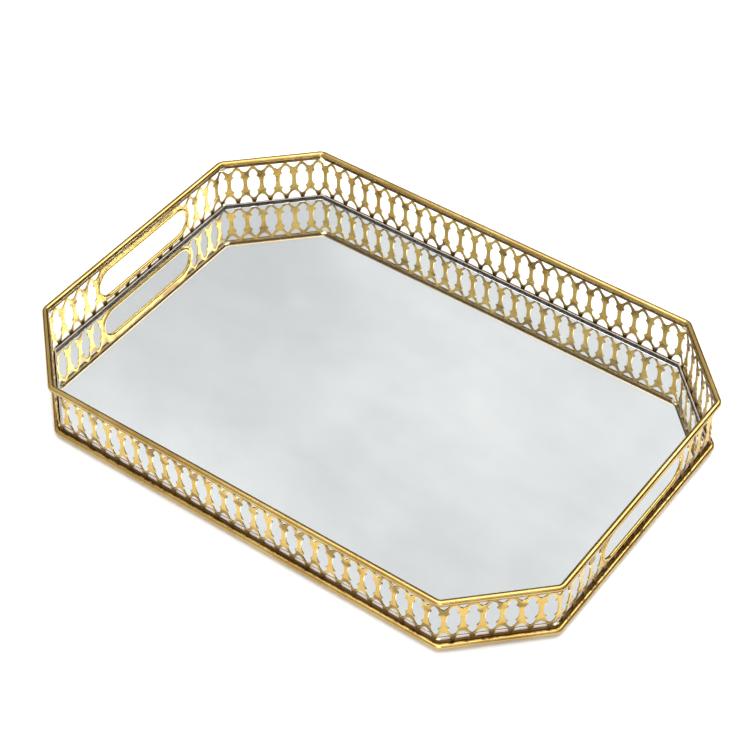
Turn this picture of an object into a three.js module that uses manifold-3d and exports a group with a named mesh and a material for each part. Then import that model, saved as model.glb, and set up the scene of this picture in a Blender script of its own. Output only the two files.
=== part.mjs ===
// Dresser vanity tray: a mirror floor in an eight-sided pierced gallery, held between two bent rods,
// with a handle slot in each short wall. Millimetres, +Z up, origin under the middle of the tray.
import * as THREE from "three";
import { mergeVertices } from "three/addons/utils/BufferGeometryUtils.js";
import Module from "manifold-3d";

const wasm = await Module();
wasm.setup();

// ---- Overall sizes ----
const TRAY_LENGTH = 370; // X, over the rods
const TRAY_WIDTH = 266; // Y, over the rods
const GALLERY_RISE = 36.7; // from the middle of the lower rod to the middle of the upper one
const CORNER_LEG = 47; // how much each cut corner takes off both walls, along the rods' middles
const ROD_DIAMETER = 4;
const ROD_BEND_RADIUS = 5; // of the rod's middle, at each corner

// ---- Gallery strip ----
const STRIP_THICKNESS = 0.8;
const STRIP_STEP = 0.4; // inner face of the strip, outwards of the rods' inner edge
const STRIP_BORDER = 0.6; // plain edge above and below the pierced pattern
const STRIP_END = 0.8; // plain edge that closes each wall of the strip at a corner
const MOTIF_PITCH = 10.62; // the nearest pitch that closes round the tray is used
const PATTERN_START = 2.8; // first bar, round the strip from the right end of the front wall
// Tall openings, the eyes, stand between the bars, and small ones, the arches, at the bars' ends.
const EYE_HEAD_SPACE = 3; // from the tip of an eye to the top of the strip
const EYE_FOOT_SPACE = 4.9; // from its other tip to the bottom of the strip
const COLLAR_DEPTH = 6.1; // collar of a bar, from the level of the eyes' tips
const LOBE_DEPTH = 4.1; // widest place of an eye's small end, from its tip
const BAR_WIDTH = 2.5; // half-way up
const BAR_WIDTH_AT_COLLAR = 5.4;
const BAR_WIDTH_AT_LOBE = 4.2; // over both branches
const BRANCH_WIDTH = 1.3; // of the two thin branches at each end of a bar
const STEM_WIDTH = 1.6; // metal between two arches at the border
const SHOULDER_WIDTH = 4.1; // metal between two arches at their shoulders
const SHOULDER_DEPTH = 3.2; // from an arch's point

// ---- Handle slots ----
const HANDLE_LENGTH = 83.5; // clear opening
const HANDLE_RING_WIDTH = 2; // edging round the opening
const HANDLE_RING_THICKNESS = 2;
const HANDLE_STEP = 0.5; // from the level of the eyes' tips to the outside of the edging
const HANDLE_LAND = 1; // plain metal between the edging and the pierced pattern
const HANDLE_SETBACK = 4; // middle of the slot, from the middle of its wall towards the back

// ---- Floor, from the table up ----
const PAD_THICKNESS = 1.2;
const PAD_DIAMETER = 10;
const FRAME_THICKNESS = 0.8;
const FRAME_WIDTH = 12;
const LINER_THICKNESS = 0.6;
const BOARD_THICKNESS = 3;
const SILVERING_THICKNESS = 0.2;
const GLASS_THICKNESS = 3;
const SEAL_THICKNESS = 0.6;
const SEAL_STEP = 0.1; // the seal stops this far below the face of the glass

// ---- Clearances ----
const GLUE_LINE = 0.1; // between flat layers
const FIT_GAP = 0.3; // between upright or turned pieces that touch

// ---- Roundness ----
const ROD_SIDES = 12;
const BEND_STEPS = 4;
const SLOT_END_STEPS = 10;
const PAD_SIDES = 20;

// ---- Heights that follow ----
const rodRadius = ROD_DIAMETER / 2;
const frameBottom = PAD_THICKNESS + GLUE_LINE;
const frameTop = frameBottom + FRAME_THICKNESS;
const lowerRodHeight = frameTop + GLUE_LINE + rodRadius;
const upperRodHeight = lowerRodHeight + GALLERY_RISE;
const boardBottom = frameTop + GLUE_LINE;
const silveringBottom = boardBottom + BOARD_THICKNESS + GLUE_LINE;
const glassBottom = silveringBottom + SILVERING_THICKNESS + GLUE_LINE;
const glassTop = glassBottom + GLASS_THICKNESS;
const stripBottom = lowerRodHeight + rodRadius + FIT_GAP;
const stripHeight = GALLERY_RISE - ROD_DIAMETER - 2 * FIT_GAP;
const eyeReach = (stripHeight - EYE_HEAD_SPACE - EYE_FOOT_SPACE) / 2; // from its middle to its tip
const stripHead = eyeReach + EYE_HEAD_SPACE; // above the middle of the eyes
const stripFoot = eyeReach + EYE_FOOT_SPACE; // below it
const eyeLevel = stripBottom + stripFoot;
const handleHeight = 2 * (eyeReach - HANDLE_STEP - HANDLE_RING_WIDTH);

// ---- Insets that follow, from the middle of the rods inwards ----
const stripInset = rodRadius - STRIP_STEP - STRIP_THICKNESS / 2; // middle of the strip
const sealInset = rodRadius + FIT_GAP;
const floorInset = sealInset + SEAL_THICKNESS + GLUE_LINE;
const frameInnerInset = FRAME_WIDTH;
const linerInset = frameInnerInset + FIT_GAP;

// ---- Materials ----
const gold = new THREE.MeshStandardMaterial({ color: 0xd9b25a, metalness: 1, roughness: 0.22 });
const glass = new THREE.MeshStandardMaterial({ color: 0xe4efec, metalness: 0, roughness: 0.03 });
const silver = new THREE.MeshStandardMaterial({ color: 0xdfe2e4, metalness: 1, roughness: 0.04 });
const sealant = new THREE.MeshStandardMaterial({ color: 0x15120f, metalness: 0, roughness: 0.6 });
const hardboard = new THREE.MeshStandardMaterial({ color: 0x3a2c20, metalness: 0, roughness: 0.8 });
const flock = new THREE.MeshStandardMaterial({ color: 0x141416, metalness: 0, roughness: 1 });
const rubber = new THREE.MeshStandardMaterial({ color: 0x202022, metalness: 0, roughness: 0.7 });

const tray = new THREE.Group();

function addPart(name, geometry, material, parent = tray) {
  const mesh = new THREE.Mesh(geometry, material);
  mesh.name = name;
  parent.add(mesh);
  return mesh;
}

// ---- Booleans ----
function toSolid(geometry) {
  const bare = geometry.clone();
  bare.deleteAttribute("normal");
  bare.deleteAttribute("uv");
  const merged = mergeVertices(bare);
  return new wasm.Manifold(new wasm.Mesh({
    numProp: 3,
    vertProperties: merged.attributes.position.array,
    triVerts: new Uint32Array(merged.index.array),
  }));
}

function toGeometry(solid) {
  const mesh = solid.getMesh();
  const geometry = new THREE.BufferGeometry();
  geometry.setAttribute("position", new THREE.BufferAttribute(mesh.vertProperties, 3));
  geometry.setIndex(new THREE.BufferAttribute(mesh.triVerts, 1));
  geometry.computeVertexNormals();
  return geometry;
}

function joined(solids) {
  return solids.reduce((whole, solid) => whole.add(solid));
}

// ---- The eight-sided plan ----
// The corners where the rods' middles would meet if they weren't rounded, counter-clockwise from
// the right end of the front wall, each moved inwards by the inset.
function planCorners(inset) {
  const halfX = TRAY_LENGTH / 2 - rodRadius - inset;
  const halfY = TRAY_WIDTH / 2 - rodRadius - inset;
  const leg = CORNER_LEG - inset * (2 - Math.SQRT2);
  return [
    [halfX - leg, -halfY],
    [halfX, -halfY + leg],
    [halfX, halfY - leg],
    [halfX - leg, halfY],
    [-halfX + leg, halfY],
    [-halfX, halfY - leg],
    [-halfX, -halfY + leg],
    [-halfX + leg, -halfY],
  ].map(([x, y]) => new THREE.Vector2(x, y));
}

// The plan at an inset with each corner rounded; every call gives the same number of points.
function planOutline(inset, radius) {
  const corners = planCorners(inset);
  const points = [];
  corners.forEach((corner, i) => {
    const before = corners.at(i - 1);
    const after = corners[(i + 1) % corners.length];
    const back = before.clone().sub(corner).normalize();
    const ahead = after.clone().sub(corner).normalize();
    const inward = back.clone().add(ahead).normalize();
    const halfAngle = back.clone().negate().angleTo(ahead) / 2;
    const centre = corner.clone().addScaledVector(inward, radius / Math.cos(halfAngle));
    const outwardAngle = inward.clone().negate().angle();
    for (let step = 0; step <= BEND_STEPS; step++) {
      const angle = outwardAngle + halfAngle * ((2 * step) / BEND_STEPS - 1);
      const spoke = new THREE.Vector2(Math.cos(angle), Math.sin(angle));
      points.push(centre.clone().addScaledVector(spoke, radius));
    }
  });
  return points;
}

// A closed ring that follows the plan. The section lists its corners as [inset, corner radius,
// height], counter-clockwise as seen with the middle of the tray on the left.
function planRing(section) {
  const loops = section.map(([inset, radius]) => planOutline(inset, radius));
  const count = loops[0].length;
  const positions = [];
  loops.forEach((loop, j) => loop.forEach((p) => positions.push(p.x, p.y, section[j][2])));
  const index = [];
  loops.forEach((_, j) => {
    const next = (j + 1) % loops.length;
    for (let i = 0; i < count; i++) {
      const ahead = (i + 1) % count;
      const a = j * count + i;
      const b = j * count + ahead;
      const c = next * count + ahead;
      const d = next * count + i;
      index.push(a, b, c, a, c, d);
    }
  });
  const geometry = new THREE.BufferGeometry();
  geometry.setAttribute("position", new THREE.Float32BufferAttribute(positions, 3));
  geometry.setIndex(index);
  geometry.computeVertexNormals();
  return geometry;
}

function planPlate(inset, bottom, thickness) {
  const shape = new THREE.Shape(planOutline(inset, ROD_BEND_RADIUS - sealInset));
  const geometry = new THREE.ExtrudeGeometry(shape, { depth: thickness, bevelEnabled: false });
  return geometry.translate(0, 0, bottom);
}

// ---- Rods ----
function rod(height) {
  const section = [];
  for (let side = 0; side < ROD_SIDES; side++) {
    const angle = (2 * Math.PI * side) / ROD_SIDES;
    const outwards = rodRadius * Math.cos(angle);
    section.push([-outwards, ROD_BEND_RADIUS + outwards, height + rodRadius * Math.sin(angle)]);
  }
  return planRing(section);
}

addPart("upper_rim_rod", rod(upperRodHeight), gold);
addPart("lower_rim_rod", rod(lowerRodHeight), gold);

// ---- The strip all round: how long it is and how its pattern divides it ----
const stripCorners = planCorners(stripInset);
const nextCorner = (i) => stripCorners[(i + 1) % stripCorners.length];
const wallLengths = stripCorners.map((corner, i) => corner.distanceTo(nextCorner(i)));
const stripLength = wallLengths.reduce((sum, length) => sum + length);
const motifCount = Math.round(stripLength / MOTIF_PITCH);
const pitch = stripLength / motifCount;

// ---- Gallery openings, in a wall's own plane: x along the wall, y up from the middle of the eyes
const lobeRise = eyeReach - LOBE_DEPTH;
const collarRise = eyeReach - COLLAR_DEPTH;
const archPoint = lobeRise + BRANCH_WIDTH;
const cutDepth = 3 * STRIP_THICKNESS; // takes each opening right through the strip

function outline(points) {
  return new THREE.Shape(points.map(([x, y]) => new THREE.Vector2(x, y)));
}

// A tall opening between two bars: a lens pinched twice by the bars' collars.
function eyeShape(x) {
  const half = [
    [(pitch - BAR_WIDTH_AT_LOBE) / 2, -lobeRise],
    [(pitch - BAR_WIDTH_AT_COLLAR) / 2, -collarRise],
    [(pitch - BAR_WIDTH) / 2, 0],
    [(pitch - BAR_WIDTH_AT_COLLAR) / 2, collarRise],
    [(pitch - BAR_WIDTH_AT_LOBE) / 2, lobeRise],
  ];
  const otherHalf = half.map(([dx, y]) => [-dx, -y]);
  const foot = [0, -eyeReach];
  const head = [0, eyeReach];
  return outline([foot, ...half, head, ...otherHalf].map(([dx, y]) => [x + dx, y]));
}

// A small opening between a bar's two branches and the border: up is 1 above the bar, -1 below it.
function archShape(x, up) {
  const archFoot = (up > 0 ? stripHead : stripFoot) - STRIP_BORDER;
  const shoulder = archPoint + SHOULDER_DEPTH;
  const points = [
    [-(pitch - STEM_WIDTH) / 2, archFoot],
    [-(pitch - SHOULDER_WIDTH) / 2, shoulder],
    [0, archPoint],
    [(pitch - SHOULDER_WIDTH) / 2, shoulder],
    [(pitch - STEM_WIDTH) / 2, archFoot],
  ];
  return outline(points.map(([dx, y]) => [x + up * dx, up * y]));
}

// A slot with round ends, this much bigger all round than the clear opening of the handle.
function slotShape(x, grow) {
  const radius = handleHeight / 2 + grow;
  const reach = (HANDLE_LENGTH - handleHeight) / 2;
  const points = [];
  for (const end of [1, -1]) {
    for (let step = 0; step <= SLOT_END_STEPS; step++) {
      const angle = Math.PI * (step / SLOT_END_STEPS - 0.5) + (end < 0 ? Math.PI : 0);
      points.push([x + end * reach + radius * Math.cos(angle), radius * Math.sin(angle)]);
    }
  }
  return outline(points);
}

function prism(shape, thickness) {
  const geometry = new THREE.ExtrudeGeometry(shape, { depth: thickness, bevelEnabled: false });
  return geometry.translate(0, 0, -thickness / 2);
}

function cutter(shape) {
  return toSolid(prism(shape, cutDepth));
}

// ---- Gallery walls ----
const WALL_NAMES = [
  "front_right_corner",
  "right",
  "back_right_corner",
  "back",
  "back_left_corner",
  "left",
  "front_left_corner",
  "front",
];
// Which way along its wall each handle is set back: the right wall runs to the back, the left one
// to the front.
const HANDLE_SIDES = { right: 1, left: -1 };

const slotGrow = HANDLE_RING_WIDTH + FIT_GAP;
const landReach = HANDLE_LENGTH / 2 + slotGrow + HANDLE_LAND;

function wallBlock(length, trim, thickness) {
  const block = new THREE.BoxGeometry(length - 2 * trim, stripHead + stripFoot, thickness);
  return toSolid(block.translate(length / 2, (stripHead - stripFoot) / 2, 0));
}

// One wall of the strip with its openings. The pattern runs on round the corners: start is how far
// round the strip this wall begins, and slotMiddle is where its handle is, along the wall.
function galleryWall(start, length, slotMiddle) {
  const hasSlot = slotMiddle !== undefined;
  const holes = [];
  const first = Math.floor((start - PATTERN_START) / pitch) - 1;
  const last = Math.ceil((start + length - PATTERN_START) / pitch) + 1;
  for (let n = first; n <= last; n++) {
    const bar = PATTERN_START + n * pitch - start;
    const eye = bar + pitch / 2;
    const besideSlot = !hasSlot || Math.abs(eye - slotMiddle) > landReach;
    if (besideSlot) holes.push(cutter(eyeShape(eye)));
    holes.push(cutter(archShape(bar, 1)), cutter(archShape(bar, -1)));
  }
  let openings = joined(holes);
  if (hasSlot) {
    openings = openings.subtract(cutter(slotShape(slotMiddle, slotGrow + HANDLE_LAND)));
    openings = openings.add(cutter(slotShape(slotMiddle, slotGrow)));
  }
  const mitre = (STRIP_THICKNESS / 2) * Math.tan(Math.PI / 8) + FIT_GAP / 2;
  const pierced = wallBlock(length, mitre + STRIP_END, cutDepth).intersect(openings);
  return toGeometry(wallBlock(length, mitre, STRIP_THICKNESS).subtract(pierced));
}

function handleRing(slotMiddle) {
  const ring = slotShape(slotMiddle, HANDLE_RING_WIDTH);
  ring.holes.push(slotShape(slotMiddle, 0));
  return prism(ring, HANDLE_RING_THICKNESS);
}

let wallStart = 0;
WALL_NAMES.forEach((name, i) => {
  const corner = stripCorners[i];
  const along = nextCorner(i).clone().sub(corner);
  const wall = new THREE.Group();
  wall.position.set(corner.x, corner.y, eyeLevel);
  wall.rotation.set(Math.PI / 2, 0, along.angle(), "ZYX");
  tray.add(wall);

  const hasHandle = name in HANDLE_SIDES;
  const slotMiddle = hasHandle ? wallLengths[i] / 2 + HANDLE_SIDES[name] * HANDLE_SETBACK : undefined;
  addPart(`gallery_${name}`, galleryWall(wallStart, wallLengths[i], slotMiddle), gold, wall);
  if (hasHandle) addPart(`handle_edging_${name}`, handleRing(slotMiddle), gold, wall);
  wallStart += wallLengths[i];
});

// ---- Floor ----
function rectangularRing(outerInset, innerInset, bottom, top) {
  const radius = ROD_BEND_RADIUS - sealInset;
  return planRing([
    [outerInset, radius, bottom],
    [outerInset, radius, top],
    [innerInset, radius, top],
    [innerInset, radius, bottom],
  ]);
}

addPart("base_frame", rectangularRing(0, frameInnerInset, frameBottom, frameTop), gold);
addPart("backing_board", planPlate(floorInset, boardBottom, BOARD_THICKNESS), hardboard);
addPart("mirror_silvering", planPlate(floorInset, silveringBottom, SILVERING_THICKNESS), silver);
addPart("mirror_glass", planPlate(floorInset, glassBottom, GLASS_THICKNESS), glass);
addPart(
  "mirror_edge_seal",
  rectangularRing(sealInset, sealInset + SEAL_THICKNESS, boardBottom, glassTop - SEAL_STEP),
  sealant,
);
const linerBottom = boardBottom - GLUE_LINE - LINER_THICKNESS;
addPart("flock_liner", planPlate(linerInset, linerBottom, LINER_THICKNESS), flock);

// ---- Feet: one under the middle of each cut corner, across the base frame ----
const padCorners = planCorners(FRAME_WIDTH / 2);
for (let i = 0; i < WALL_NAMES.length; i += 2) {
  const middle = padCorners[i].clone().lerp(padCorners[i + 1], 0.5);
  const pad = new THREE.CylinderGeometry(PAD_DIAMETER / 2, PAD_DIAMETER / 2, PAD_THICKNESS, PAD_SIDES);
  const place = WALL_NAMES[i].replace("_corner", "");
  const mesh = addPart(`foot_pad_${place}`, pad.rotateX(Math.PI / 2), rubber);
  mesh.position.set(middle.x, middle.y, PAD_THICKNESS / 2);
}

export default tray;
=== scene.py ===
"""The looks of the dresser vanity tray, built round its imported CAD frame.

Sizes are in millimetres until a mesh is made. The tray lies flat: X along the long walls, Y from the front
wall to the back wall, Z up. Places round the tray are given by an inset, inwards from the middle of the rods.
"""
import math

import bmesh
import bpy
from mathutils import Matrix, Vector, noise
from mathutils.geometry import delaunay_2d_cdt


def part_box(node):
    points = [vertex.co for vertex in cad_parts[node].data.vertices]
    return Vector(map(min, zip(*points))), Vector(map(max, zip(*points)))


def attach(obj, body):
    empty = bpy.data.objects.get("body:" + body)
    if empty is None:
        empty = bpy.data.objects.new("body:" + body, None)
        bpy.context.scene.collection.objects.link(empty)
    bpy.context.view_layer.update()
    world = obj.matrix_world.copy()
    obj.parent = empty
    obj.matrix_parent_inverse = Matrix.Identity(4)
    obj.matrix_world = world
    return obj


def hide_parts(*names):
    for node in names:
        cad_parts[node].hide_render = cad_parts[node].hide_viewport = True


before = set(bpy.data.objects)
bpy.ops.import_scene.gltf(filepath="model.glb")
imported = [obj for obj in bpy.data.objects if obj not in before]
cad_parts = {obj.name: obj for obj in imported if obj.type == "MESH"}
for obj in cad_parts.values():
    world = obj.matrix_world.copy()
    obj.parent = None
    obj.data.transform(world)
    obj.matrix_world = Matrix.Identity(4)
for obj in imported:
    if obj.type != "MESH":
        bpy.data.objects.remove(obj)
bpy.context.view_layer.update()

MM = 0.001


def box_mm(node):
    low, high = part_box(node)
    return low / MM, high / MM


# ---- Sizes from the frame ----
upper_low, upper_high = box_mm("upper_rim_rod")
lower_high = box_mm("lower_rim_rod")[1]
glass_low, glass_high = box_mm("mirror_glass")
seal_low, seal_high = box_mm("mirror_edge_seal")
silver_low, silver_high = box_mm("mirror_silvering")
board_low, board_high = box_mm("backing_board")
base_low, base_high = box_mm("base_frame")
liner_low, liner_high = box_mm("flock_liner")
pad_low, pad_high = box_mm("foot_pad_front_right")
strip_low, strip_high = box_mm("gallery_right")
edging_low, edging_high = box_mm("handle_edging_right")

ROD_RADIUS = (upper_high.z - upper_low.z) / 2
UPPER_ROD_Z = upper_high.z - ROD_RADIUS
LOWER_ROD_Z = lower_high.z - ROD_RADIUS
HALF_X = upper_high.x - ROD_RADIUS
HALF_Y = upper_high.y - ROD_RADIUS
STRIP_THICKNESS = strip_high.x - strip_low.x
STRIP_INSET = HALF_X - (strip_high.x + strip_low.x) / 2
SEAL_INSET = HALF_X - seal_high.x
GLASS_INSET = HALF_X - glass_high.x
LINER_INSET = HALF_X - liner_high.x
EYE_LEVEL = (edging_high.z + edging_low.z) / 2
STRIP_HEAD = strip_high.z - EYE_LEVEL
STRIP_FOOT = EYE_LEVEL - strip_low.z

# ---- Sizes that the frame's boxes don't give, as the CAD source has them ----
CORNER_LEG = 47.0
ROD_BEND_RADIUS = 5.0
MOTIF_PITCH = 10.62
PATTERN_START = 2.8
EYE_HEAD_SPACE = 3.0
COLLAR_DEPTH = 6.1
LOBE_DEPTH = 4.1
BAR_WIDTH = 2.5
BAR_WIDTH_AT_COLLAR = 5.4
BAR_WIDTH_AT_LOBE = 4.2
BRANCH_WIDTH = 1.3
STEM_WIDTH = 1.6
SHOULDER_WIDTH = 4.1
SHOULDER_DEPTH = 3.2
STRIP_BORDER = 0.6
EDGING_WIDTH = 2.0
EDGING_GAP = 0.3
HANDLE_LAND = 1.0
FRAME_WIDTH = 12.0
SEAL_THICKNESS = 0.6

# ---- Finer shape than the CAD's ----
EDGE_ROUNDING = 0.13  # of the strip's stamped edges
COLLAR_BARB = 0.5  # how far the stamped points of a collar stand past the CAD's plain ones
LOBE_TUCK = 0.4  # how much narrower than the CAD's the stamped ends of an eye are, each side
TOP_ARCH_TUCK = 0.5  # how much shorter than the CAD's the small openings along the top are
PLAIN_OVER_HANDLE = 4.0  # how far past the straight part of a slot the strip is left plain over it
SEAM_STRAP = 0.6  # metal left at each end of the band, where its two ends are butted together
SEAM_GAP = 0.05
SMALLEST_OPENING = 1.0  # square millimetres; a smaller one, cut off by a slot's land, is left out
SMALLEST_STEP = 0.04  # between two points of an outline
EDGING_SOFTNESS = 0.75
EDGING_SHOULDER = 0.22
GLASS_ARRIS = 0.35  # the narrow slope ground on the glass's upper edge
PLATE_EDGE = 0.2
PAD_EDGE = 0.1

# ---- Fineness ----
BEND_STEPS = 10
ROD_SIDES = 28
CURVE_STEPS = 5
SLOT_END_STEPS = 28
PAD_SIDES = 48
BEAD_SUBDIVISIONS = 4

CORNER_TURN = math.radians(45)


# ---- The eight-sided plan ----
def corner_angle(i):
    """Which way corner i points. Corner 0 ends the front wall on its right; the right wall's come next."""
    return i * CORNER_TURN - 1.5 * CORNER_TURN


def plan_corners(inset):
    half_x, half_y = HALF_X - inset, HALF_Y - inset
    leg = CORNER_LEG - inset * (2 - math.sqrt(2))
    return [Vector(xy) for xy in (
        (half_x - leg, -half_y), (half_x, -half_y + leg), (half_x, half_y - leg), (half_x - leg, half_y),
        (-half_x + leg, half_y), (-half_x, half_y - leg), (-half_x, -half_y + leg), (-half_x + leg, -half_y),
    )]


def unit(angle):
    return Vector((math.cos(angle), math.sin(angle)))


def bend_centre(corner, middle, radius):
    return corner - radius / math.cos(CORNER_TURN / 2) * unit(middle)


def plan_loop(inset):
    """The plan at an inset as a ring of points, with each corner rounded."""
    smallest_radius = 0.4
    radius = max(ROD_BEND_RADIUS - inset, smallest_radius)
    points = []
    for i, corner in enumerate(plan_corners(inset)):
        middle = corner_angle(i)
        centre = bend_centre(corner, middle, radius)
        for step in range(BEND_STEPS + 1):
            points.append(centre + radius * unit(middle + CORNER_TURN * (step / BEND_STEPS - 0.5)))
    return points


# ---- Making meshes ----
def finish_mesh(name, bm, sharp_degrees=35):
    """Turns millimetres into metres, shades smooth up to an angle and links the new object."""
    bmesh.ops.scale(bm, vec=(MM,) * 3, verts=bm.verts)
    bm.normal_update()
    for face in bm.faces:
        face.smooth = True
    for edge in bm.edges:
        edge.smooth = edge.calc_face_angle(0) < math.radians(sharp_degrees)
    mesh = bpy.data.meshes.new(name)
    bm.to_mesh(mesh)
    bm.free()
    piece = bpy.data.objects.new(name, mesh)
    bpy.context.scene.collection.objects.link(piece)
    return piece


def add_piece(piece, materials, slot, *nodes):
    for material in materials:
        piece.data.materials.append(material)
    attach(piece, "root")
    if nodes:
        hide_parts(*nodes)


def join_rings(bm, rings, closed=True):
    """Quads between rings of vertices; the last ring joins the first if closed."""
    pairs = list(zip(rings, rings[1:]))
    if closed:
        pairs.append((rings[-1], rings[0]))
    for lower, upper in pairs:
        for i in range(len(lower)):
            j = (i + 1) % len(lower)
            bm.faces.new((lower[i], lower[j], upper[j], upper[i]))


def close_ends(bm, rings):
    bm.faces.new(reversed(rings[0]))
    bm.faces.new(rings[-1])


def plan_rings(bm, section):
    return [[bm.verts.new((p.x, p.y, z)) for p in plan_loop(inset)] for inset, z in section]


def plan_ring(name, section):
    """A ring round the tray. The section is a loop of (inset, z), from the outside over the top inwards."""
    bm = bmesh.new()
    join_rings(bm, plan_rings(bm, section))
    return finish_mesh(name, bm)


def plan_plate(name, section):
    """A solid plate of the plan's shape. The section is (inset, z) up its edge, from bottom to top."""
    bm = bmesh.new()
    rings = plan_rings(bm, section)
    join_rings(bm, rings, closed=False)
    close_ends(bm, rings)
    return finish_mesh(name, bm, sharp_degrees=12)


def eased_plate(name, inset, low, high):
    """A plate whose upper and lower edges are slightly broken."""
    return plan_plate(name, [
        (inset + PLATE_EDGE, low), (inset, low + PLATE_EDGE),
        (inset, high - PLATE_EDGE), (inset + PLATE_EDGE, high),
    ])


# ---- Shader helpers ----
class NodeTree:
    """Short ways to add shader nodes and link them."""

    def __init__(self, tree, coordinates):
        self.tree = tree
        self.place = self.node("ShaderNodeTexCoord").outputs[coordinates]

    def node(self, kind, inputs=(), **settings):
        made = self.tree.nodes.new(kind)
        for setting, value in settings.items():
            setattr(made, setting, value)
        for key, value in dict(inputs).items():
            self.feed(made.inputs[key], value)
        return made

    def feed(self, socket, value):
        if isinstance(value, bpy.types.NodeSocket):
            self.tree.links.new(value, socket)
        else:
            socket.default_value = value

    def noise(self, scale, detail=3.0, roughness=0.55, stretch=(1, 1, 1)):
        stretched = self.node("ShaderNodeMapping", {"Vector": self.place, "Scale": stretch})
        return self.node("ShaderNodeTexNoise", {
            "Vector": stretched.outputs["Vector"], "Scale": scale, "Detail": detail, "Roughness": roughness,
        }).outputs["Fac"]

    def axis(self, letter):
        return self.node("ShaderNodeSeparateXYZ", {"Vector": self.place}).outputs[letter]

    def spread(self, value, start, end, low=0.0, high=1.0):
        """Turns start..end into low..high, and stops there."""
        inputs = {"Value": value, "From Min": start, "From Max": end, "To Min": low, "To Max": high}
        return self.node("ShaderNodeMapRange", inputs, clamp=True).outputs["Result"]

    def mix(self, share, first, second):
        inputs = {0: share, 6: first, 7: second}
        return self.node("ShaderNodeMix", inputs, data_type="RGBA").outputs[2]

    def math(self, operation, first, second=0.0):
        return self.node("ShaderNodeMath", {0: first, 1: second}, operation=operation).outputs[0]


class Shader(NodeTree):
    """A Principled material whose varying colours, roughness and bump come from nodes."""

    def __init__(self, name, **sockets):
        self.material = bpy.data.materials.new(name)
        self.material.use_nodes = True
        super().__init__(self.material.node_tree, "Object")
        self.principled = self.tree.nodes["Principled BSDF"]
        for socket, value in sockets.items():
            self.principled.inputs[socket.replace("_", " ")].default_value = value

    def drive(self, **sockets):
        for socket, value in sockets.items():
            self.feed(self.principled.inputs[socket.replace("_", " ")], value)

    def bump(self, height, depth_mm):
        inputs = {"Height": height, "Distance": depth_mm * MM, "Strength": 1.0}
        self.drive(Normal=self.node("ShaderNodeBump", inputs).outputs["Normal"])

    def uneven_height(self, scale, wobble_mm):
        """The height in metres, made uneven so that what fades with it has a ragged edge."""
        wobble = self.spread(self.noise(scale, 3), 0.3, 0.7, -wobble_mm * MM, wobble_mm * MM)
        return self.math("ADD", self.axis("Z"), wobble)

    def fade(self, value, start_mm, end_mm, low=0.0, high=1.0):
        return self.spread(value, start_mm * MM, end_mm * MM, low, high)


# ---- Materials ----
GOLD_WARM = (0.53, 0.35, 0.088, 1)
GOLD_PALE = (0.61, 0.44, 0.135, 1)
# The rods' gold is a darker copy of the strip's gold: painted shade, so that the rods look less brightly lit.
SHADED_ROD_GOLD_WARM = (0.42, 0.27, 0.08, 1)
SHADED_ROD_GOLD_PALE = (0.53, 0.37, 0.13, 1)
# The dark of the random specks, and also of the painted shade by the rods and seams.
GOLD_SHADE_AND_STAIN = (0.05, 0.02, 0.008, 1)
# Solder tones: partly the solder's own pale colour, partly a painted glint at the corners.
SOLDER_GLINT_DULL = (0.8, 0.71, 0.4, 1)
SOLDER_GLINT_BRIGHT = (0.95, 0.92, 0.68, 1)
GLASS_CLEAR = (0.985, 0.995, 0.99, 1)
GLASS_TINTED = (0.96, 0.975, 0.97, 1)
# Near-black for the glass's upright sides: painted shade, for how they look from inside the tray.
GLASS_SIDE_SHADE_DARK = (0.006, 0.008, 0.007, 1)
GLASS_SIDE_SHADE_SOFT = (0.02, 0.024, 0.02, 1)
# Pale painted light, standing in for the lit glass seen over the sealant's top.
GLASS_PAINTED_LIGHT = (0.7, 0.58, 0.5, 1)
# Silver tones: partly haze, partly a painted reflection of cloudy light.
SILVER_BRIGHT = (0.93, 0.94, 0.945, 1)
SILVER_HAZE_AND_REFLECTION = (0.86, 0.872, 0.885, 1)
SEALANT_DARK = (0.02, 0.006, 0.003, 1)
SEALANT_LIGHT = (0.07, 0.022, 0.012, 1)
BOARD_DARK = (0.05, 0.028, 0.015, 1)
BOARD_LIGHT = (0.16, 0.095, 0.055, 1)
FLOCK_DARK = (0.004, 0.004, 0.005, 1)
FLOCK_LIGHT = (0.03, 0.03, 0.034, 1)
RUBBER_DARK = (0.018, 0.018, 0.019, 1)
RUBBER_LIGHT = (0.04, 0.04, 0.042, 1)
FLOOR_DARK = (0.93, 0.93, 0.93, 1)
FLOOR_LIGHT = (0.95, 0.95, 0.95, 1)

GOLD_SMOOTHEST, GOLD_ROUGHEST, STAIN_ROUGHENS = 0.16, 0.32, 0.2
PAINTED_LIGHT_DEPTH, PAINTED_LIGHT_BLEND = 2.0, 0.2  # of the pale band of painted light along the sealant's top

# How much painted shade darkens the gold at the rods and beside the seams, how much soot darkens the collars,
# and how far from the seams and the rods, in millimetres
ROD_PAINTED_SHADE, UPPER_PAINTED_SHADE, LOWER_PAINTED_SHADE, COLLAR_SOOT = 0.9, 0.8, 0.85, 0.6
CROWN_START, CROWN_FULL = -0.1, 0.2  # above the lower rod's crown
FOOT_FULL, FOOT_END = 1.5, 2.1  # above the upper rod's foot
UPPER_START, UPPER_FULL = 2.6, 0.6  # below the upper seam
LOWER_START, LOWER_FULL = 7.5, 4.5  # above the lower seam
COLLAR_START, COLLAR_FULL = 4.6, 6.2  # above and below the middle between the seams


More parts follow.
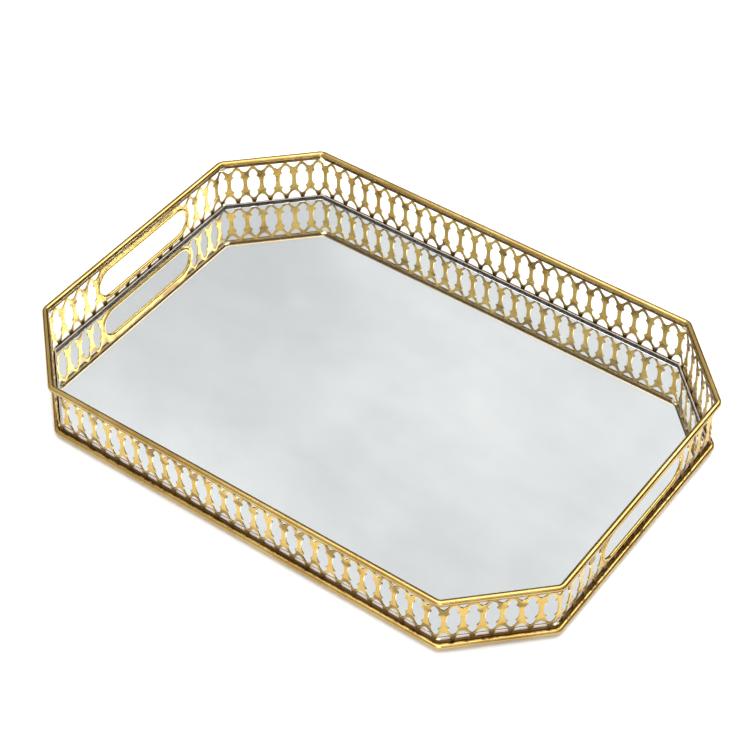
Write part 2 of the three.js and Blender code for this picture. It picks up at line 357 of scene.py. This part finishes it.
def gold(name, shade_and_stain=None, warm=GOLD_WARM, pale=GOLD_PALE):
    """Lacquered brass plate. The function passed second gives where it is darkened, from 0 to 1: painted
    shade by the rods and seams, and soot on a few collars.
    """
    shader = Shader(name, Metallic=1.0)
    tone = shader.mix(shader.spread(shader.noise(28, detail=4), 0.4, 0.64), warm, pale)
    specks = shader.spread(shader.noise(620, detail=2, roughness=0.7), 0.69, 0.76, 0.0, 0.7)
    dark = shader.math("MAXIMUM", specks, shade_and_stain(shader)) if shade_and_stain else specks
    polish = shader.spread(shader.noise(95, detail=4), 0.35, 0.7, GOLD_SMOOTHEST, GOLD_ROUGHEST)
    shader.drive(
        Base_Color=shader.mix(dark, tone, GOLD_SHADE_AND_STAIN),
        Roughness=shader.math("ADD", polish, shader.spread(dark, 0, 1, 0, STAIN_ROUGHENS)),
    )
    fine_ripples = shader.noise(420, detail=3)
    broad_ripples = shader.math("MULTIPLY", shader.noise(90, detail=2), 2.0)
    shader.bump(shader.math("ADD", fine_ripples, broad_ripples), depth_mm=0.035)
    return shader.material


def rod_painted_shade(shader):
    """Painted shade on the foot of the upper rod and the crown of the lower one, where the strip and the
    solder meet them.
    """
    height = shader.uneven_height(260, wobble_mm=0.3)
    lower_crown, upper_foot = LOWER_ROD_Z + ROD_RADIUS, UPPER_ROD_Z - ROD_RADIUS
    above_lower = shader.fade(height, lower_crown + CROWN_START, lower_crown + CROWN_FULL, 0.0, ROD_PAINTED_SHADE)
    below_upper = shader.fade(height, upper_foot + FOOT_FULL, upper_foot + FOOT_END, 1.0, 0.0)
    return shader.math("MULTIPLY", above_lower, below_upper)


def strip_shade_and_soot(shader):
    """Painted shade on the thin branches beside the two seams, and soot patches on a few darker collars."""
    up = shader.math("SUBTRACT", shader.uneven_height(300, wobble_mm=0.6), SEAM_MIDDLE * MM)
    above = shader.fade(up, SEAM_REACH - UPPER_START, SEAM_REACH - UPPER_FULL, 0.0, UPPER_PAINTED_SHADE)
    below = shader.fade(up, LOWER_START - SEAM_REACH, LOWER_FULL - SEAM_REACH, 0.0, LOWER_PAINTED_SHADE)
    at_collars = shader.fade(shader.math("ABSOLUTE", up), COLLAR_START, COLLAR_FULL)
    patchy = shader.spread(shader.noise(75, detail=2), 0.46, 0.6, 0.0, COLLAR_SOOT)
    shade_beside_seams = shader.math("MAXIMUM", above, below)
    return shader.math("MAXIMUM", shade_beside_seams, shader.math("MULTIPLY", at_collars, patchy))


def solder_with_painted_glint():
    shader = Shader("solder_with_painted_glint", Metallic=1.0)
    # The pale tone is partly a painted highlight, the glint at the corners.
    shader.drive(
        Base_Color=shader.mix(shader.noise(300), SOLDER_GLINT_DULL, SOLDER_GLINT_BRIGHT),
        Roughness=shader.spread(shader.noise(500), 0.3, 0.7, 0.2, 0.45),
    )
    shader.bump(shader.noise(700, detail=3), depth_mm=0.04)
    return shader.material


def clear_glass():
    shader = Shader(
        "clear_float_glass", IOR=1.42, Transmission_Weight=1.0, Roughness=0.0, Specular_IOR_Level=0.2,
    )
    tint = shader.spread(shader.noise(22, detail=5, roughness=0.6, stretch=(1, 2.4, 1)), 0.4, 0.7)
    shader.drive(Base_Color=shader.mix(tint, GLASS_CLEAR, GLASS_TINTED))
    return shader.material


def painted_shade_glass_side():
    """The glass's side, opaque and painted dark: painted shade, as it shows through the glass from inside the
    tray.
    """
    shader = Shader("glass_side_painted_shade", Roughness=0.6)
    shader.drive(Base_Color=shader.mix(shader.noise(300), GLASS_SIDE_SHADE_DARK, GLASS_SIDE_SHADE_SOFT))
    return shader.material


def silver():
    shader = Shader("silver_mirror", Metallic=1.0)
    # The patchy tone is partly haze and partly a painted reflection of cloudy light.
    haze_and_painted_reflection = shader.spread(shader.noise(7, detail=4, roughness=0.6), 0.35, 0.7)
    shader.drive(
        Base_Color=shader.mix(haze_and_painted_reflection, SILVER_BRIGHT, SILVER_HAZE_AND_REFLECTION),
        Roughness=shader.spread(haze_and_painted_reflection, 0, 1, 0.0, 0.03),
    )
    return shader.material


def sealant():
    """Dark brown sealant, with a pale band of painted light along its top for the lit glass seen over the
    bead.
    """
    shader = Shader("brown_sealant", Roughness=0.45)
    dark = shader.mix(shader.noise(200), SEALANT_DARK, SEALANT_LIGHT)
    height = shader.uneven_height(240, wobble_mm=0.3)
    painted_light_from = seal_high.z - PAINTED_LIGHT_DEPTH
    painted_glass_light = shader.fade(height, painted_light_from - PAINTED_LIGHT_BLEND, painted_light_from + PAINTED_LIGHT_BLEND)
    shader.drive(Base_Color=shader.mix(painted_glass_light, dark, GLASS_PAINTED_LIGHT))
    shader.bump(shader.noise(350, detail=4), depth_mm=0.05)
    return shader.material


def hardboard():
    shader = Shader("hardboard", Roughness=0.8)
    fibres = shader.noise(900, detail=5, roughness=0.7, stretch=(1, 1, 6))
    shader.drive(Base_Color=shader.mix(fibres, BOARD_DARK, BOARD_LIGHT))
    shader.bump(fibres, depth_mm=0.1)
    return shader.material


def flock():
    shader = Shader("black_flock", Roughness=0.95, Sheen_Weight=0.7, Sheen_Roughness=0.4)
    nap = shader.spread(shader.noise(26, detail=4), 0.35, 0.65)
    fibres = shader.noise(3200, detail=2, roughness=0.8)
    pile = shader.math("ADD", shader.math("MULTIPLY", nap, 0.5), shader.math("MULTIPLY", fibres, 0.5))
    shader.drive(Base_Color=shader.mix(pile, FLOCK_DARK, FLOCK_LIGHT))
    shader.bump(fibres, depth_mm=0.15)
    return shader.material


def pad_rubber():
    shader = Shader("pad_rubber", Roughness=0.7)
    shader.drive(Base_Color=shader.mix(shader.noise(700), RUBBER_DARK, RUBBER_LIGHT))
    shader.bump(shader.noise(1500, detail=3), depth_mm=0.05)
    return shader.material


def pale_floor():
    shader = Shader("pale_floor", Roughness=0.85, Specular_IOR_Level=0.1)
    shader.drive(Base_Color=shader.mix(shader.noise(3), FLOOR_DARK, FLOOR_LIGHT))
    return shader.material


# ---- Rods ----
def rod_section(middle_z):
    turns = [2 * math.pi * side / ROD_SIDES for side in range(ROD_SIDES)]
    return [(-ROD_RADIUS * math.cos(a), middle_z + ROD_RADIUS * math.sin(a)) for a in turns]


# The rods take the darker copy of the gold, painted shade, plus painted shade on the upper rod's foot and the
# lower rod's crown.
shaded_rod_gold = gold("shaded_rod_gold", rod_painted_shade, SHADED_ROD_GOLD_WARM, SHADED_ROD_GOLD_PALE)
for rod_name, rod_z in (("upper_rim_rod", UPPER_ROD_Z), ("lower_rim_rod", LOWER_ROD_Z)):
    add_piece(plan_ring(f"round_{rod_name}", rod_section(rod_z)), [shaded_rod_gold], "gold_metal", rod_name)


# ---- The strip: a flat pierced band, then bent round the tray ----
# A place on it is (along, up, out): along it from the right end of the front wall, up from the middle of the
# eyes, and out from its own middle.
seam_depth = ROD_RADIUS - math.sqrt(ROD_RADIUS**2 - STRIP_INSET**2)  # the rod's flank, from its crown
STRIP_TOP = UPPER_ROD_Z - ROD_RADIUS + seam_depth - EYE_LEVEL
STRIP_BOTTOM = LOWER_ROD_Z + ROD_RADIUS - seam_depth - EYE_LEVEL
SEAM_MIDDLE = EYE_LEVEL + (STRIP_TOP + STRIP_BOTTOM) / 2
SEAM_REACH = (STRIP_TOP - STRIP_BOTTOM) / 2

strip_corners = plan_corners(STRIP_INSET)
wall_lengths = [(strip_corners[(i + 1) % 8] - c).length for i, c in enumerate(strip_corners)]
corner_places = [sum(wall_lengths[:i]) for i in range(9)]
strip_length = corner_places[8]
motif_count = round(strip_length / MOTIF_PITCH)
pitch = strip_length / motif_count

bend_radius = ROD_BEND_RADIUS - STRIP_INSET
bend_reach = bend_radius * math.tan(CORNER_TURN / 2)


def wall_middle(wall):
    return corner_places[wall] + wall_lengths[wall] / 2


# A wall has the number of the corner it starts at. The band starts and ends at the bar nearest the middle of
# the front left corner wall.
RIGHT, LEFT, FRONT_LEFT_CORNER = 1, 5, 6
first_bar = round((wall_middle(FRONT_LEFT_CORNER) - PATTERN_START) / pitch)
band_start = PATTERN_START + first_bar * pitch


def on_band(along):
    """The same place, counted on past the band's start."""
    return along + strip_length * (along < band_start)


slot_height = edging_high.z - edging_low.z - 2 * EDGING_WIDTH
slot_reach = (edging_high.y - edging_low.y - 2 * EDGING_WIDTH - slot_height) / 2
slot_setback = (edging_high.y + edging_low.y) / 2
land_radius = slot_height / 2 + EDGING_WIDTH + EDGING_GAP + HANDLE_LAND
slot_middles = [on_band(wall_middle(RIGHT) + slot_setback), on_band(wall_middle(LEFT) - slot_setback)]

eye_reach = STRIP_HEAD - EYE_HEAD_SPACE
lobe_rise = eye_reach - LOBE_DEPTH
collar_rise = eye_reach - COLLAR_DEPTH
arch_point = lobe_rise + BRANCH_WIDTH

# How the outlines of the openings swing between their key points
TIP_SHARE, TIP_DROP = 0.7, 0.9  # of the lobe's width, and below the eye's tip
LOBE_BULGE = Vector((0.1, 1.1))
COLLAR_HOLLOW = Vector((0.8, -0.6))
COLLAR_SIDE = Vector((1.35, -1.4))  # from a collar's point to where its hollow side ends
WAIST_SHARE = 0.45  # of the collar's height
ARCH_SHARE, ARCH_DROP = 0.62, 0.8  # of the shoulder's width, and beyond the arch's point
STEM_FLARE = Vector((0.35, 0.9))


def strip_point(along, up, out):
    """Where a place on the flat band comes to lie on the tray."""
    along %= strip_length
    i = min(range(9), key=lambda k: abs(along - corner_places[k]))
    past = along - corner_places[i]
    corner = strip_corners[i % 8]
    middle = corner_angle(i % 8)
    if abs(past) < bend_reach:
        angle = middle + CORNER_TURN / 2 * past / bend_reach
        flat = bend_centre(corner, middle, bend_radius) + (bend_radius + out) * unit(angle)
    else:
        outward = unit(middle + math.copysign(CORNER_TURN / 2, past))
        flat = corner + past * Vector((-outward.y, outward.x)) + out * outward
    return Vector((flat.x, flat.y, EYE_LEVEL + up))


def bend(bm):
    for vert in bm.verts:
        vert.co = strip_point(*vert.co)


def curve(start, control, end, steps=CURVE_STEPS):
    """Points of a quadratic curve, without its end."""
    start, control, end = Vector(start), Vector(control), Vector(end)
    shares = [step / steps for step in range(steps)]
    return [(1 - t) ** 2 * start + 2 * t * (1 - t) * control + t * t * end for t in shares]


def eye_outline(x):
    """A tall opening: a lens with a small rounded end beyond the sharp collars of its two bars."""
    tip = Vector((0, eye_reach))
    lobe = Vector(((pitch - BAR_WIDTH_AT_LOBE) / 2 - LOBE_TUCK, lobe_rise))
    collar = Vector(((pitch - BAR_WIDTH_AT_COLLAR) / 2 - COLLAR_BARB, collar_rise))
    collar_foot = collar + COLLAR_SIDE
    waist = Vector(((pitch - BAR_WIDTH) / 2, 0))
    quarter = curve(tip, (TIP_SHARE * lobe.x, tip.y - TIP_DROP), lobe)
    quarter += curve(lobe, Vector((lobe.x, collar.y)) + LOBE_BULGE, collar, steps=3)
    quarter += curve(collar, collar + COLLAR_HOLLOW, collar_foot, steps=2)
    quarter += curve(collar_foot, (waist.x, WAIST_SHARE * collar.y), waist)
    half = quarter + [waist] + [Vector((p.x, -p.y)) for p in reversed(quarter)]
    other_half = [Vector((-p.x, p.y)) for p in reversed(half[1:-1])]
    return [Vector((x, 0)) + p for p in half + other_half]


def arch_outline(x, up):
    """A small opening over (up = 1) or under (up = -1) a bar, pointed at the bar and flat at the border."""
    foot_level = (STRIP_HEAD if up > 0 else STRIP_FOOT) - STRIP_BORDER
    start = arch_point + (TOP_ARCH_TUCK if up > 0 else 0)
    shoulder = Vector(((pitch - SHOULDER_WIDTH) / 2, start + SHOULDER_DEPTH))
    foot = Vector(((pitch - STEM_WIDTH) / 2, foot_level))
    side = curve((0, start), (ARCH_SHARE * shoulder.x, start + ARCH_DROP), shoulder)
    side += curve(shoulder, foot - STEM_FLARE, foot, steps=4)
    side.append(foot)
    outline = side + [Vector((-p.x, p.y)) for p in reversed(side[1:])]
    return [Vector((x + p.x, up * p.y)) for p in outline]


def slot_outline(x, grow):
    """A round-ended slot, this much bigger all round than the handle's clear opening."""
    radius = slot_height / 2 + grow
    points = []
    for end, turned in ((1, 0), (-1, math.pi)):
        for step in range(SLOT_END_STEPS + 1):
            angle = math.pi * (step / SLOT_END_STEPS - 0.5) + turned
            points.append(Vector((x + end * slot_reach, 0)) + radius * unit(angle))
    return points


def clear_of_handles(outline):
    """The outline pushed off the plain land round each handle slot."""
    pushed = []
    for p in outline:
        for middle in slot_middles:
            nearest = Vector((min(max(p.x, middle - slot_reach), middle + slot_reach), 0))
            away = p - nearest
            if away.length < land_radius:
                p = nearest + away.normalized() * land_radius
        if not pushed or (p - pushed[-1]).length > SMALLEST_STEP:
            pushed.append(p)
    return pushed[:-1] if (pushed[0] - pushed[-1]).length < SMALLEST_STEP else pushed


def signed_area(outline):
    return sum(a.cross(b) for a, b in zip(outline, outline[1:] + outline[:1])) / 2


def shifted(outline, distance):
    """The closed outline moved to its left by a distance, mitred but never to a long spike."""
    sharpest_mitre = 0.6
    moved = []
    for i, p in enumerate(outline):
        before = (p - outline[i - 1]).normalized()
        after = (outline[(i + 1) % len(outline)] - p).normalized()
        left_of_after = Vector((-after.y, after.x))
        left = (Vector((-before.y, before.x)) + left_of_after).normalized()
        moved.append(p + left * distance / max(left.dot(left_of_after), sharpest_mitre))
    return moved


def near_slot(x, reach):
    return any(abs(x - middle) < slot_reach + reach for middle in slot_middles)


def strip_openings():
    """Every opening of the band, from its first bar right round to the same bar again."""
    openings = []
    for n in range(motif_count + 1):
        bar = band_start + n * pitch
        eye = bar + pitch / 2
        if n < motif_count and not near_slot(eye, land_radius):
            openings.append(eye_outline(eye))
        if not near_slot(bar, PLAIN_OVER_HANDLE):
            openings.append(arch_outline(bar, 1))
        openings.append(arch_outline(bar, -1))
    first, last = band_start + SEAM_STRAP, band_start + strip_length - SEAM_STRAP
    openings = [[Vector((min(max(p.x, first), last), p.y)) for p in outline] for outline in openings]
    openings = [clear_of_handles(outline) for outline in openings]
    openings = [outline for outline in openings if abs(signed_area(outline)) > SMALLEST_OPENING]
    return openings + [slot_outline(middle, EDGING_WIDTH / 2) for middle in slot_middles]


def band_outline():
    left, right = band_start + SEAM_GAP, band_start + strip_length - SEAM_GAP
    corners = ((left, STRIP_BOTTOM), (right, STRIP_BOTTOM), (right, STRIP_TOP), (left, STRIP_TOP))
    return [Vector(corner) for corner in corners]


def pierced_band(outer, openings):
    """A flat band with openings, its stamped edges slightly rounded."""
    loops = [outer] + [o if signed_area(o) < 0 else o[::-1] for o in openings]
    insides = [shifted(loop, EDGE_ROUNDING) for loop in loops]
    flat = [p for loop in insides for p in loop]
    starts = [sum(len(loop) for loop in loops[:i]) for i in range(len(loops))]
    rings = [range(start, start + len(loop)) for start, loop in zip(starts, loops)]
    edges = [(ring[i - 1], ring[i]) for ring in rings for i in range(len(ring))]
    regions = [list(rings[0])] + [list(reversed(ring)) for ring in rings[1:]]
    points, _, faces, origins, _, found = delaunay_2d_cdt(flat, edges, regions, 1, 1e-6)
    metal = [face for face, inside in zip(faces, found) if list(inside) == [0]]

    bm = bmesh.new()
    half = STRIP_THICKNESS / 2
    sides = []
    for out in (half, -half):
        made = [bm.verts.new((p.x, p.y, out)) for p in points]
        for face in metal:
            bm.faces.new([made[i] for i in (face if out > 0 else reversed(face))])
        sides.append({origin: vert for vert, sources in zip(made, origins) for origin in sources})
    for loop, ring in zip(loops, rings):
        front, back = [[side[i] for i in ring] for side in sides]
        rounded = half - EDGE_ROUNDING
        outer_front, outer_back = [
            [bm.verts.new((p.x, p.y, out)) for p in loop] for out in (rounded, -rounded)
        ]
        join_rings(bm, [back, outer_back, outer_front, front], closed=False)
    loose = [v for v in bm.verts if not v.link_faces]
    bmesh.ops.delete(bm, geom=loose, context="VERTS")
    return bm


def crease_for_bends(bm, places):
    """Cuts the flat band across at each bend, so that it can turn the corner."""
    for place in places:
        for step in range(BEND_STEPS + 1):
            x = place + bend_reach * (2 * step / BEND_STEPS - 1)
            faces = [f for f in bm.faces if min(v.co.x for v in f.verts) < x < max(v.co.x for v in f.verts)]
            near = set(faces) | {e for f in faces for e in f.edges} | {v for f in faces for v in f.verts}
            bmesh.ops.bisect_plane(bm, geom=list(near), plane_co=(x, 0, 0), plane_no=(1, 0, 0))


band = pierced_band(band_outline(), strip_openings())
crease_for_bends(band, [on_band(place) for place in corner_places[:8]])
bend(band)
wall_nodes = [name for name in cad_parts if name.startswith("gallery_")]
# The strip's gold carries painted shade beside the seams and soot patches on some collars.
strip_gold = gold("strip_gold", strip_shade_and_soot)
add_piece(finish_mesh("gallery_strip", band), [strip_gold], "gold_metal", *wall_nodes)


# ---- Handle edgings: a soft-cornered ring round each slot ----
def edging(name, middle):
    half = (edging_high.x - edging_low.x) / 2
    inner_half = [
        (0.0, EDGING_SOFTNESS - half), (EDGING_SHOULDER, EDGING_SHOULDER - half), (EDGING_SOFTNESS, -half),
        (EDGING_WIDTH - EDGING_SOFTNESS, -half), (EDGING_WIDTH - EDGING_SHOULDER, EDGING_SHOULDER - half),
        (EDGING_WIDTH, EDGING_SOFTNESS - half),
    ]
    profile = inner_half + [(grow, -out) for grow, out in reversed(inner_half)]
    bm = bmesh.new()
    rings = [[bm.verts.new((p.x, p.y, out)) for p in slot_outline(middle, grow)] for grow, out in profile]
    join_rings(bm, rings)
    bend(bm)
    return finish_mesh(name, bm, sharp_degrees=50)


edging_gold = gold("edging_gold")
for side_name, slot_middle in zip(("right", "left"), slot_middles):
    edging_node = f"handle_edging_{side_name}"
    add_piece(edging(f"soft_{edging_node}", slot_middle), [edging_gold], "gold_metal", edging_node)


# ---- The tray's floor, from the mirror down ----
def glass_slab():
    """The glass, clear where it lies flat or slopes, and opaque with painted shade on its upright sides."""
    turn = 0.3 * GLASS_ARRIS
    upright = 0.01  # how little a side's normal may lean up or down
    slab = plan_plate("mirror_glass_slab", [
        (GLASS_INSET, glass_low.z), (GLASS_INSET, glass_high.z - GLASS_ARRIS),
        (GLASS_INSET + turn, glass_high.z - turn), (GLASS_INSET + GLASS_ARRIS, glass_high.z),
    ])
    slab.data.materials.append(clear_glass())
    slab.data.materials.append(painted_shade_glass_side())
    for face in slab.data.polygons:
        face.material_index = 1 if abs(face.normal.z) < upright else 0
    return slab


def sealant_bead():
    """An upright bead with a rounded top."""
    shoulder, crown_drop, crown_width = 0.4, 0.1, 0.12
    outside, inside = SEAL_INSET, SEAL_INSET + SEAL_THICKNESS
    return plan_ring("edge_sealant_bead", [
        (outside, seal_low.z), (outside, seal_high.z - shoulder),
        (outside + crown_width, seal_high.z - crown_drop), ((outside + inside) / 2, seal_high.z),
        (inside - crown_width, seal_high.z - crown_drop),
        (inside, seal_high.z - shoulder), (inside, seal_low.z),
    ])


def frame_plate():
    low, high = base_low.z, base_high.z
    return plan_ring("base_frame_plate", [
        (0.0, low + PLATE_EDGE), (0.0, high - PLATE_EDGE), (PLATE_EDGE, high),
        (FRAME_WIDTH - PLATE_EDGE, high), (FRAME_WIDTH, high - PLATE_EDGE),
        (FRAME_WIDTH, low + PLATE_EDGE), (FRAME_WIDTH - PLATE_EDGE, low), (PLATE_EDGE, low),
    ])


add_piece(glass_slab(), [], "clear_glass", "mirror_glass")
silver_section = [(GLASS_INSET, silver_low.z), (GLASS_INSET, silver_high.z)]
add_piece(plan_plate("silver_coating", silver_section), [silver()], "silvering", "mirror_silvering")
board = eased_plate("pressed_board", GLASS_INSET, board_low.z, board_high.z)
add_piece(board, [hardboard()], "hardboard", "backing_board")
add_piece(sealant_bead(), [sealant()], "edge_seal", "mirror_edge_seal")
add_piece(frame_plate(), [gold("frame_gold")], "gold_metal", "base_frame")

liner = eased_plate("flock_sheet", LINER_INSET, liner_low.z, liner_high.z)
add_piece(liner, [flock()], "flock", "flock_liner")


# ---- Feet ----
def foot_pad(name, centre):
    """A moulded pad with a soft rim and a shallow dimple in the middle of its sole."""
    radius, height = (pad_high.x - pad_low.x) / 2, pad_high.z - pad_low.z
    dimple = [(0.3, 0.25), (1.6, 0.2), (2.2, 0.0)]
    rim = [(radius - 0.5, 0.0), (radius - 0.15, 0.12), (radius, 0.4)]
    top = [(radius, height - PAD_EDGE), (radius - PAD_EDGE, height)]
    turns = [unit(2 * math.pi * side / PAD_SIDES) for side in range(PAD_SIDES)]
    bm = bmesh.new()
    rings = []
    for r, z in dimple + rim + top:
        rings.append([bm.verts.new((centre.x + r * turn.x, centre.y + r * turn.y, z)) for turn in turns])
    join_rings(bm, rings, closed=False)
    close_ends(bm, rings)
    return finish_mesh(name, bm, sharp_degrees=50)


rubber = pad_rubber()
for corner_name in ("front_right", "back_right", "back_left", "front_left"):
    pad_node = f"foot_pad_{corner_name}"
    pad_corners = box_mm(pad_node)
    pad_centre = (pad_corners[0] + pad_corners[1]) / 2
    add_piece(foot_pad(f"moulded_{pad_node}", pad_centre), [rubber], "pad_rubber", pad_node)


# ---- Solder at the corners ----
UPPER_BEAD = (STRIP_TOP - 1.2, 1.6)  # its height on the strip and its radius
LOWER_BEAD = (STRIP_BOTTOM + 2.5, 1.0)
BEAD_SINK = 0.1  # of a bead's middle from the strip's inner face
BEAD_SHAPE = Vector((0.7, 1.7, 0.9))  # out from the wall, along it and up
BEAD_LUMPS, BEAD_LUMP_SCALE = 0.35, 1.4
NEXT_CORNER_GRAIN = 7.0  # how far on in the noise each corner's beads take their lumps from


def solder_beads():
    """Small lumps of solder in the angle between strip and rod, on the inside of each corner."""
    bm = bmesh.new()
    for i, place in enumerate(corner_places[:8]):
        turn = Matrix.Rotation(corner_angle(i), 3, "Z")
        for rise, radius in (UPPER_BEAD, LOWER_BEAD):
            middle = strip_point(place, rise, -STRIP_THICKNESS / 2 - BEAD_SINK)
            sphere = bmesh.ops.create_icosphere(bm, subdivisions=BEAD_SUBDIVISIONS, radius=1.0)["verts"]
            for vert in sphere:
                grain = noise.noise(vert.co * BEAD_LUMP_SCALE + Vector((NEXT_CORNER_GRAIN * i, rise, 0)))
                vert.co = middle + turn @ (vert.co * BEAD_SHAPE * radius * (1 + BEAD_LUMPS * grain))
    return finish_mesh("solder_beads", bm, sharp_degrees=180)


add_piece(solder_beads(), [solder_with_painted_glint()], "gold_metal")

# ---- Stage, camera and light: metres from here on ----
FLOOR_SIZE = 6.0

LENS_MM, SENSOR_MM = 102.9, 36
CAMERA_DISTANCE = 1.2974
CAMERA_AZIMUTH, CAMERA_ELEVATION = 35.778, 45.152
CAMERA_TARGET = Vector((-11.35, 16.2, LOWER_ROD_Z + 0.6)) * MM

HORIZON_DARK, HORIZON_END = (0.02, 0.012, 0.008, 1), 0.27
SKY_LOW, SKY_LOW_AT = (0.68, 0.69, 0.695, 1), 0.40
SKY_HIGH, SKY_HIGH_AT = (0.93, 0.925, 0.925, 1), 0.62
HORIZON_TILT = -0.25  # the dark horizon stands higher behind the tray than in front of it
CLOUD_DARKEST, CLOUD_BRIGHTEST = 0.88, 1.06


def add_floor():
    bm = bmesh.new()
    bmesh.ops.create_grid(bm, x_segments=8, y_segments=8, size=FLOOR_SIZE / 2 / MM)
    floor = finish_mesh("floor", bm)
    floor.data.materials.append(pale_floor())


def direction(azimuth, elevation):
    """Out from the tray: azimuth 0 is in front of it and 90 to its right."""
    a, e = math.radians(azimuth), math.radians(elevation)
    return Vector((math.sin(a) * math.cos(e), -math.cos(a) * math.cos(e), math.sin(e)))


def place_facing(made, location, target):
    bpy.context.scene.collection.objects.link(made)
    made.location = location
    made.rotation_euler = (target - location).to_track_quat("-Z", "Y").to_euler()


def add_camera():
    data = bpy.data.cameras.new("camera")
    data.lens = LENS_MM
    data.sensor_width = SENSOR_MM
    camera = bpy.data.objects.new("camera", data)
    outward = CAMERA_DISTANCE * direction(CAMERA_AZIMUTH, CAMERA_ELEVATION)
    place_facing(camera, CAMERA_TARGET + outward, CAMERA_TARGET)
    bpy.context.scene.camera = camera


def add_softbox(name, azimuth, elevation, distance, size, power):
    data = bpy.data.lights.new(name, "AREA")
    data.shape = "DISK"
    data.size = size
    data.energy = power
    place_facing(bpy.data.objects.new(name, data), distance * direction(azimuth, elevation), Vector())


def add_studio():
    """A pale, faintly cloudy studio with a dark horizon."""
    world = bpy.data.worlds.new("studio")
    world.use_nodes = True
    bpy.context.scene.world = world
    sky = NodeTree(world.node_tree, "Generated")
    height = sky.node("ShaderNodeValToRGB", {
        "Fac": sky.math("ADD", sky.axis("Z"), sky.math("MULTIPLY", sky.axis("Y"), HORIZON_TILT)),
    })
    stops = height.color_ramp.elements
    stops[0].position, stops[0].color = HORIZON_END, HORIZON_DARK
    stops[1].position, stops[1].color = SKY_LOW_AT, SKY_LOW
    stops.new(SKY_HIGH_AT).color = SKY_HIGH
    background = world.node_tree.nodes["Background"]
    sky.feed(background.inputs["Color"], height.outputs["Color"])
    clouds = sky.spread(sky.noise(7, detail=4, roughness=0.5), 0.38, 0.62, CLOUD_DARKEST, CLOUD_BRIGHTEST)
    sky.feed(background.inputs["Strength"], clouds)


add_floor()
add_camera()
add_studio()
add_softbox("softbox_behind", azimuth=160, elevation=54, distance=1.6, size=0.9, power=10)
add_softbox("softbox_above", azimuth=20, elevation=84, distance=2.2, size=2.2, power=36)
add_softbox("softbox_in_front", azimuth=30, elevation=28, distance=2.0, size=1.2, power=12)
bpy.context.scene.view_settings.view_transform = "Standard"
